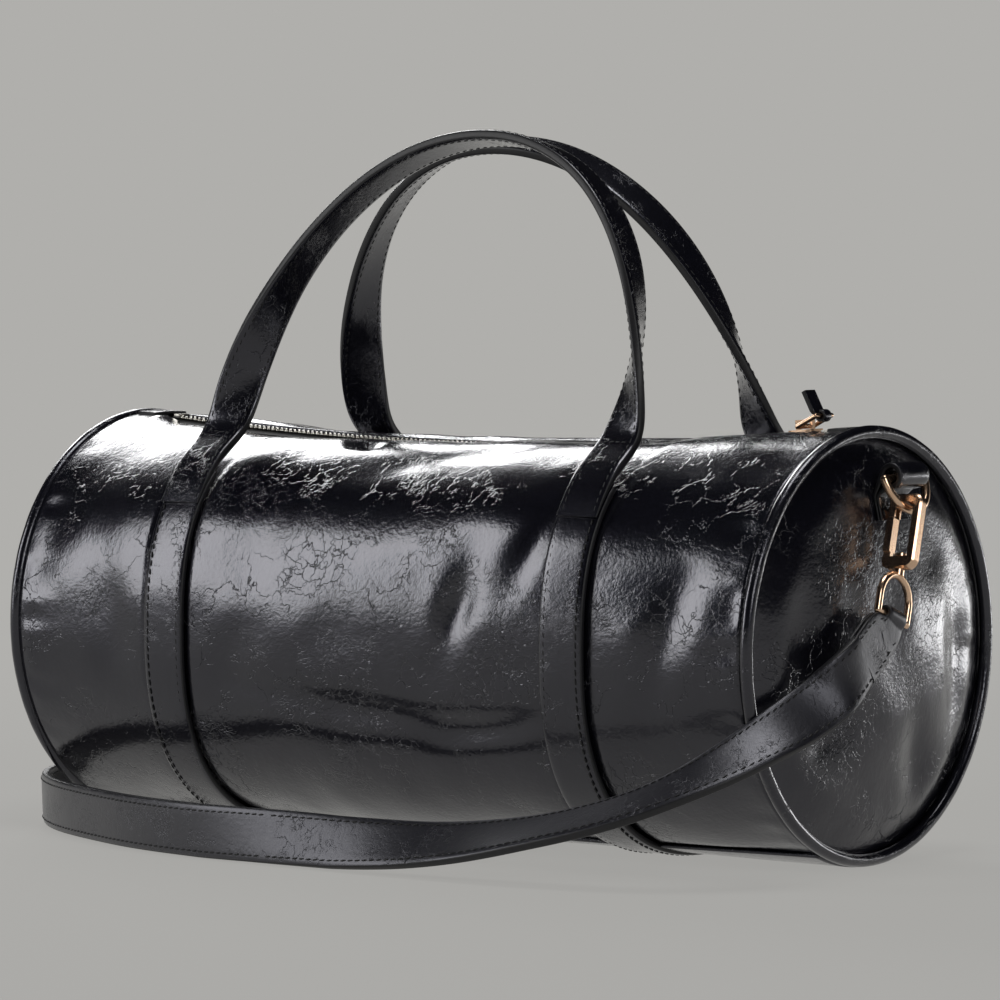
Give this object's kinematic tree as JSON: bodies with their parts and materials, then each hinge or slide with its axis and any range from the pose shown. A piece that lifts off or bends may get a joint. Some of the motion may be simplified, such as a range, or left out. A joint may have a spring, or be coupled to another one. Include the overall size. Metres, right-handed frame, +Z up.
{
  "type": "barrel bag",
  "caption": "Small barrel-shaped leather bag with a zip along the top, folding arched handles and a shoulder strap on swivel clasps.",
  "frame": {"origin": "on the ground under the middle of the bag", "axes": "+X along the barrel towards the end where the zip closes, -Y towards the front, +Z up"},
  "size_m": [0.4058, 0.2642, 0.2714],
  "materials": {
    "crinkled_leather": "glazed and crinkled, very glossy",
    "strap_leather": "glazed and crinkled, with matte painted edges",
    "zip_tape": "woven",
    "lining_cloth": "plain weave",
    "zip_teeth": "polished",
    "gold_metal": "polished pale gold"
  },
  "bodies": {
    "bag": {"back_panel": "crinkled_leather", "back_zip_tape": "zip_tape", "back_zip_teeth": "zip_teeth", "base_panel": "crinkled_leather", "front_panel": "crinkled_leather", "front_zip_tape": "zip_tape", "front_zip_teeth": "zip_teeth", "left_end_panel": "crinkled_leather", "left_girth_strap": "strap_leather", "left_lining_end": "lining_cloth", "left_piping": "crinkled_leather", "left_ring_tab": "crinkled_leather", "left_zip_end_tab": "crinkled_leather", "lining_sleeve": "lining_cloth", "right_end_panel": "crinkled_leather", "right_girth_strap": "strap_leather", "right_lining_end": "lining_cloth", "right_piping": "crinkled_leather", "right_ring_tab": "crinkled_leather", "right_zip_end_tab": "crinkled_leather", "shoulder_strap": "strap_leather", "zip_bottom_stop": "zip_teeth", "zip_top_stop": "zip_teeth"},
    "zip_slider": {"zip_slider": "gold_metal"},
    "zip_pull": {"zip_pull_link": "gold_metal", "zip_pull_tab": "crinkled_leather"},
    "front_handle": {"front_handle": "strap_leather"},
    "back_handle": {"back_handle": "strap_leather"},
    "right_ring": {"right_d_ring": "gold_metal", "right_swivel_eye": "gold_metal", "right_strap_end": "strap_leather"},
    "right_clasp": {"right_clasp_frame": "gold_metal", "right_gate_pin": "gold_metal"},
    "right_gate": {"right_gate": "gold_metal"},
    "left_ring": {"left_d_ring": "gold_metal", "left_swivel_eye": "gold_metal", "left_strap_end": "strap_leather"},
    "left_clasp": {"left_clasp_frame": "gold_metal", "left_gate_pin": "gold_metal"},
    "left_gate": {"left_gate": "gold_metal"}
  },
  "joints": [
    {"name": "zip_run", "type": "hinge", "parent": "bag", "child": "zip_slider", "pos_m": [0, 0, 1.79595], "axis": [0, 1, 0], "range_deg": [0, 10.1]},
    {"name": "pull_flip", "type": "hinge", "parent": "zip_slider", "child": "zip_pull", "pos_m": [0.14563, 0, 0.16067], "axis": [0, -1, 0], "range_deg": [0, 60]},
    {"name": "front_handle_fold", "type": "hinge", "parent": "bag", "child": "front_handle", "pos_m": [0, -0.04421, 0.1554], "axis": [1, 0, 0], "range_deg": [-2, 115]},
    {"name": "back_handle_fold", "type": "hinge", "parent": "bag", "child": "back_handle", "pos_m": [0, 0.04421, 0.1554], "axis": [-1, 0, 0], "range_deg": [-2, 115]},
    {"name": "right_ring_swing", "type": "hinge", "parent": "bag", "child": "right_ring", "pos_m": [0.18643, 0.004, 0.1425], "axis": [0, -1, 0], "range_deg": [0, 65], "deforming": ["shoulder_strap"]},
    {"name": "right_clasp_swivel", "type": "hinge", "parent": "right_ring", "child": "right_clasp", "pos_m": [0.19087, -0.00031, 0.13152], "axis": [0.0655, -0.342, -0.9374], "range_deg": [-25, 25]},
    {"name": "right_gate_open", "type": "hinge", "parent": "right_clasp", "child": "right_gate", "pos_m": [0.18674, -0.00755, 0.11169], "axis": [0, 0.9397, -0.342], "range_deg": [0, 18], "stiffness_Nm_per_rad": 0.05, "springref_deg": -8.59},
    {"name": "left_ring_swing", "type": "hinge", "parent": "bag", "child": "left_ring", "pos_m": [-0.18643, -0.004, 0.1425], "axis": [0, 1, 0], "range_deg": [0, 65], "deforming": ["shoulder_strap"]},
    {"name": "left_clasp_swivel", "type": "hinge", "parent": "left_ring", "child": "left_clasp", "pos_m": [-0.19087, 0.00031, 0.13152], "axis": [-0.0655, 0.342, -0.9374], "range_deg": [-25, 25]},
    {"name": "left_gate_open", "type": "hinge", "parent": "left_clasp", "child": "left_gate", "pos_m": [-0.18674, 0.00755, 0.11169], "axis": [0, -0.9397, -0.342], "range_deg": [0, 18], "stiffness_Nm_per_rad": 0.05, "springref_deg": -8.59}
  ]
}
